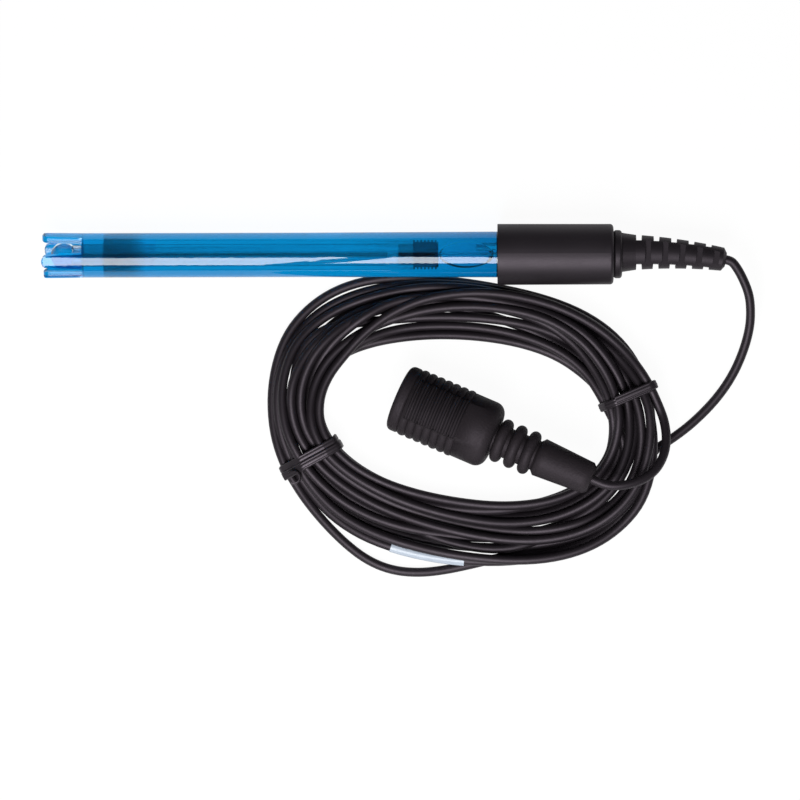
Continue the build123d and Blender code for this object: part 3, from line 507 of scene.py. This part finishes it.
cable_line = bpy.data.curves.new("cable", "CURVE")
cable_line.dimensions = "3D"
cable_spline = cable_line.splines.new("NURBS")
cable_spline.points.add(len(route) - 1)
for point, spot in zip(cable_spline.points, route):
    point.co = (*[c * mm for c in spot], 1)
cable_spline.order_u = 3
cable_spline.use_endpoint_u = True
cable_line.resolution_u = 5
cable = bpy.data.objects.new("cable", cable_line)
scene.collection.objects.link(cable)
bare_line = bpy.data.meshes.new_from_object(cable)
run = np.array([v.co for v in bare_line.vertices])
bpy.data.meshes.remove(bare_line)
cable_line.bevel_depth = cable_dia / 2 * mm
cable_line.bevel_resolution = 5
cable_line.use_fill_caps = True
jacket = moulded_black("cable_jacket", (0.0105, 0.0085, 0.0105), 0.5, 1800.0, 0.03)
cable_line.materials.append(jacket)
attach(cable, "electrode")
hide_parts("cable_lead", "cable_coil", "cable_loose_turn", "cable_tail")


# Sleeve label: a short milky plastic tube pushed over the cable, which it grips by its tight fit. It bends
# with its strand, the second turn, on the outside of the coil, and has no print.
def sweep(mesh, outline, places):
    """Carries a closed outline of (x, y) through a list of placings and closes both ends."""
    corners = [mesh.verts.new(places[0] @ Vector((x, y, 0))) for x, y in outline]
    ring = [mesh.edges.new(pair) for pair in zip(corners, corners[1:] + corners[:1])]
    bmesh.ops.contextual_create(mesh, geom=ring)
    for before, after in zip(places, places[1:]):
        grown = bmesh.ops.extrude_edge_only(mesh, edges=ring)["geom"]
        moved = {part for part in grown if isinstance(part, bmesh.types.BMVert)}
        edges = [part for part in grown if isinstance(part, bmesh.types.BMEdge)]
        ring = [edge for edge in edges if moved.issuperset(edge.verts)]
        bmesh.ops.transform(mesh, matrix=after @ before.inverted(), verts=list(moved))
    bmesh.ops.contextual_create(mesh, geom=ring)
    bmesh.ops.recalc_face_normals(mesh, faces=mesh.faces)


def placing(origin, x, y):
    """A placing whose own x and y axes point along x and y."""
    x, y = Vector(x).normalized(), Vector(y).normalized()
    turned = Matrix((x, y, x.cross(y))).transposed()
    return Matrix.Translation(origin) @ turned.to_4x4()


label_start, label_end = Vector((1.8, -79.4, 2.0)) * mm, Vector((21.0, -82.3, 2.0)) * mm
label_wall, label_sides = 0.2, 24
milk, thin_milk = (0.58, 0.65, 0.74), (0.42, 0.48, 0.57)
steps = cable_line.resolution_u
second_turn = (len(lead) + loose_from - 1 + len(loose_turn) + stations - loose_to) * steps
on_second_turn = run[second_turn : second_turn + stations * steps]
near_end, near_start = [
    second_turn + np.linalg.norm(on_second_turn - np.array(spot), axis=1).argmin()
    for spot in (label_end, label_start)
]
label_run = [Vector(p) for p in run[near_end - 1 : near_start + 2]]
label_r = (cable_dia / 2 + label_wall) * mm
label_ring = [(cos(a) * label_r, sin(a) * label_r) for a in np.arange(label_sides) * 2 * pi / label_sides]
label_places = []
for before, here, after in zip(label_run, label_run[1:], label_run[2:]):
    along = (after - before).normalized()
    label_places.append(placing(here, along.cross(up), up))
label_mesh = bmesh.new()
sweep(label_mesh, label_ring, label_places)
milky, tree, shader = finish("milky_sleeve", milk, 0.3)
feed(tree, shader, "Base Color", blend(tree, noise(tree, 300.0), thin_milk, milk))
label = add_piece("sleeve_label", label_mesh, milky)
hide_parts("cable_label")

# Ties: flat black plastic ribbons with three low ridges, wound round the bundle with their ends lapped.
# The left one starts in a bent hook, the right one is cut square on top.
tie_width, tie_thickness, tie_gap, tie_reach, tie_step = 2.35, 0.55, 0.1, 11.5, 6
ridge_pitch, ridge_height, edge_drop = 0.4, 0.18, 0.6
across_tie = np.linspace(-0.5, 0.5, 17)
ridges = 1 - ridge_height + ridge_height * np.abs(np.cos(across_tie * pi / ridge_pitch))
tie_top = tie_thickness * ridges * (1 - edge_drop * (2 * across_tie) ** 6)
tie_section = [(-0.5 * tie_width, 0), *zip(across_tie * tie_width, tie_top), (0.5 * tie_width, 0)]
tie_section = [(x * mm, y * mm) for x, y in tie_section]
tie_black = moulded_black("tie_ribbon", (0.0165, 0.014, 0.0165), 0.42, 2400.0, 0.05)


def wind_ribbon(mesh, centre, turn, start, end, first_shift, shift_per_turn):
    """Winds a ribbon clockwise round the strands that cross a line, from one angle to another."""
    along = Vector((cos(radians(turn)), sin(radians(turn)), 0))
    side = Vector((-along.y, along.x, 0))
    middle = Vector((*centre, 0)) * mm
    beside, reach = [(run - np.array(middle)) @ np.array(way) for way in (side, along)]
    crossing = (beside[:-1] * beside[1:] <= 0) & (np.abs(reach[:-1]) < tie_reach * mm)
    strands = [(reach[k], run[k][2]) for k in np.nonzero(crossing)[0]]
    places = []
    for angle in range(start, end, -tie_step):
        a, turned = radians(angle), (start - angle) / 360
        best = max(strands, key=lambda strand: strand[0] * cos(a) + strand[1] * sin(a))
        off = (cable_dia / 2 + tie_gap + tie_thickness * max(1 - turned, 0)) * mm
        shift = (first_shift + shift_per_turn * turned) * mm
        spot = middle + along * (best[0] + off * cos(a)) + side * shift
        spot.z = max(best[1] + off * sin(a), (tie_thickness + tie_gap) * mm)
        places.append(placing(spot, side, along * cos(a) + up * sin(a)))
    sweep(mesh, tie_section, places)


left_mesh = bmesh.new()
wind_ribbon(
    left_mesh,
    centre=(-18.6, -54.3),
    turn=28.0,
    start=145,
    end=-380,
    first_shift=-0.9,
    shift_per_turn=1.8,
)
hook_centre, hook_r, hook_turn = Vector((-24.5, -60.0, 0)) * mm, 1.5 * mm, range(140, -126, -14)
hook_lies_within = 3.2 * mm
under_hook = np.linalg.norm(run[:, :2] - np.array(hook_centre)[:2], axis=1) < hook_lies_within
hook_z = run[under_hook, 2].max() + (cable_dia / 2 + tie_gap + tie_width / 2) * mm
hook_places = []
for angle in hook_turn:
    out = Vector((cos(radians(angle)), sin(radians(angle)), 0))
    hook_places.append(placing(hook_centre + out * hook_r + up * hook_z, up, out))
sweep(left_mesh, tie_section, hook_places)
left_tie = add_piece("left_tie", left_mesh, tie_black)
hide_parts("tie_left")

right_mesh = bmesh.new()
wind_ribbon(
    right_mesh,
    centre=(66.1, -38.1),
    turn=23.0,
    start=98,
    end=-285,
    first_shift=0.2,
    shift_per_turn=-0.4,
)
right_tie = add_piece("right_tie", right_mesh, tie_black)
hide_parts("tie_right")

# Studio: a white floor that shows the camera plain white and keeps a faint shadow, and two soft panes of
# light overhead that draw the long highlights on the shaft. The surroundings are dim, but for light that
# came through the shaft, which finds them bright.
floor_half, floor_glow, glow_share, glossy_share = 6.0, 1.03, 0.93, 0.35
dim, bright = 0.08, 0.8

floor_mesh = bmesh.new()
bmesh.ops.create_grid(floor_mesh, x_segments=1, y_segments=1, size=floor_half)
floor_data = bpy.data.meshes.new("floor")
floor_mesh.to_mesh(floor_data)
floor_mesh.free()
floor = bpy.data.objects.new("floor", floor_data)
scene.collection.objects.link(floor)
white_floor, tree, shader = finish("white_floor", (0.9, 0.9, 0.9), 0.9)
seen = ray_is(tree, "Camera")
seen = seen.maths("MAXIMUM", seen, ray_is(tree, "Glossy") * glossy_share)
seen = seen.maths("MAXIMUM", seen, ray_is(tree, "Transmission"))
glow = tree.node("ShaderNodeEmission", {}, {"Color": (1, 1, 1, 1), "Strength": floor_glow})
surface(tree, mix(tree, seen * glow_share, light_of(tree, shader), glow))
floor_data.materials.append(white_floor)

world = bpy.data.worlds.new("studio")
world.use_nodes = True
backdrop = world.node_tree.nodes["Background"]
backdrop.inputs["Color"].default_value = (0.93, 0.92, 1.0, 1)
sky = Value(world.node_tree)
feed(sky, backdrop, "Strength", dim + bright * ray_is(sky, "Transmission"))
scene.world = world


def soft_light(name, at, long_way, size, watts):
    """A rectangle of light that faces straight down, its second side along long_way."""
    lamp = bpy.data.lights.new(name, "AREA")
    lamp.shape, lamp.size, lamp.size_y, lamp.energy = "RECTANGLE", *size, watts
    light = bpy.data.objects.new(name, lamp)
    light.matrix_world = placing(at, Vector(long_way).cross(up), long_way)
    light.visible_camera = False
    light.visible_transmission = False
    scene.collection.objects.link(light)


pane_way, pane_z = (-0.0763, -0.997, 0), 0.6
soft_light("left_pane", at=(-0.152, -0.51, pane_z), long_way=pane_way, size=(0.169, 0.682), watts=4.3)
soft_light("right_pane", at=(0.021, -0.412, pane_z), long_way=pane_way, size=(0.125, 0.458), watts=2.3)

camera_data = bpy.data.cameras.new("camera")
camera_data.lens, camera_data.sensor_width = 200.0, 36.0
camera = bpy.data.objects.new("camera", camera_data)
camera.location = (0.0042, -0.0392, 1.2066)
camera.rotation_euler = (0, 0, radians(-0.1))
scene.collection.objects.link(camera)
scene.camera = camera
scene.view_settings.view_transform = "Standard"
